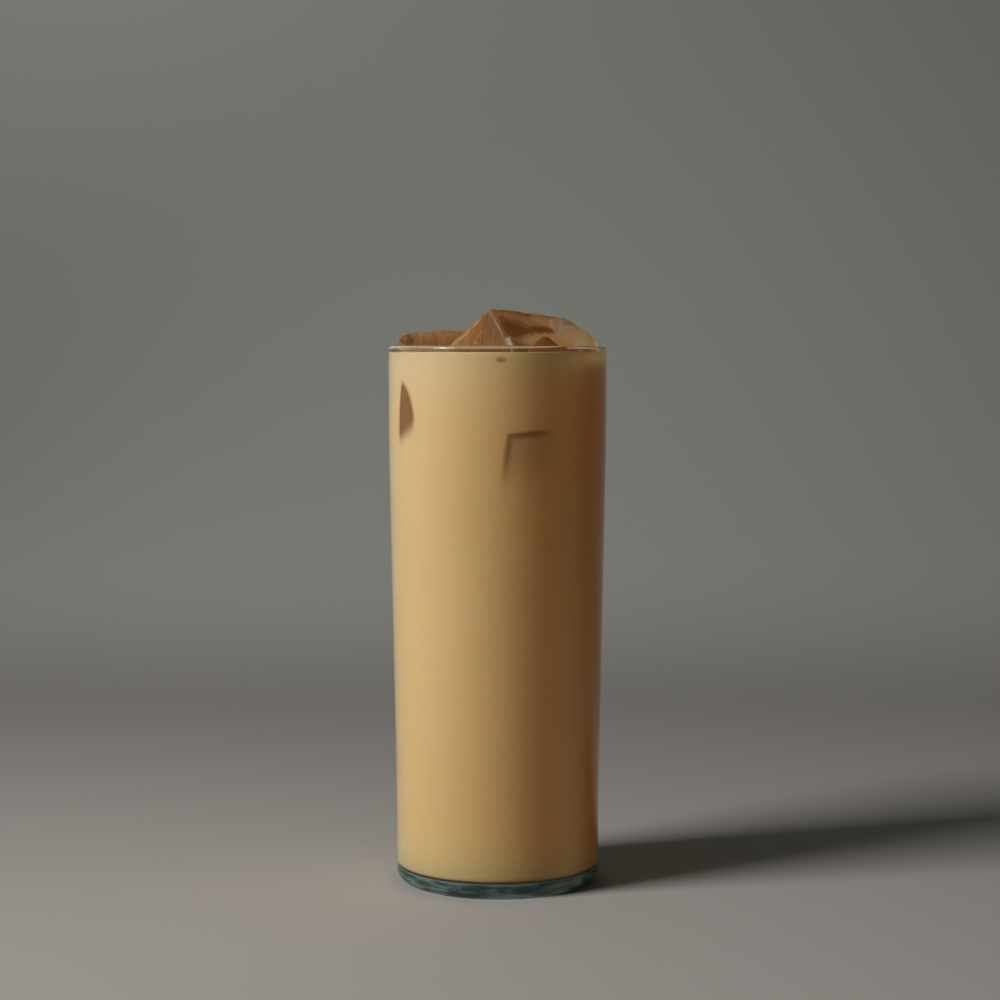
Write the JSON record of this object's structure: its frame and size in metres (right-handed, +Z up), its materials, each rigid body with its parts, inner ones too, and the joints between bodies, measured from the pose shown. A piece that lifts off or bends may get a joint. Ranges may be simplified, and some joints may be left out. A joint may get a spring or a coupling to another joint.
{
  "type": "iced coffee",
  "caption": "Tall straight-sided clear glass filled to the brim with milky iced coffee, with melting ice standing above the rim.",
  "frame": {"origin": "centre of the glass's foot, on the table", "axes": "+Z up along the glass's axis, +X to the right as pictured, -Y towards the viewer"},
  "size_m": [0.062, 0.062, 0.1637],
  "materials": {
    "glass": "clear, faintly green soda-lime glass, polished",
    "drink": "opaque milky coffee, wet and smooth",
    "ice": "melting clear ice, stained by the coffee, wet"
  },
  "bodies": {
    "root": {"glass": "glass", "drink": "drink", "ice_peak": "ice", "ice_mound": "ice", "ice_left": "ice", "ice_right": "ice", "ice_chip": "ice"}
  },
  "joints": []
}
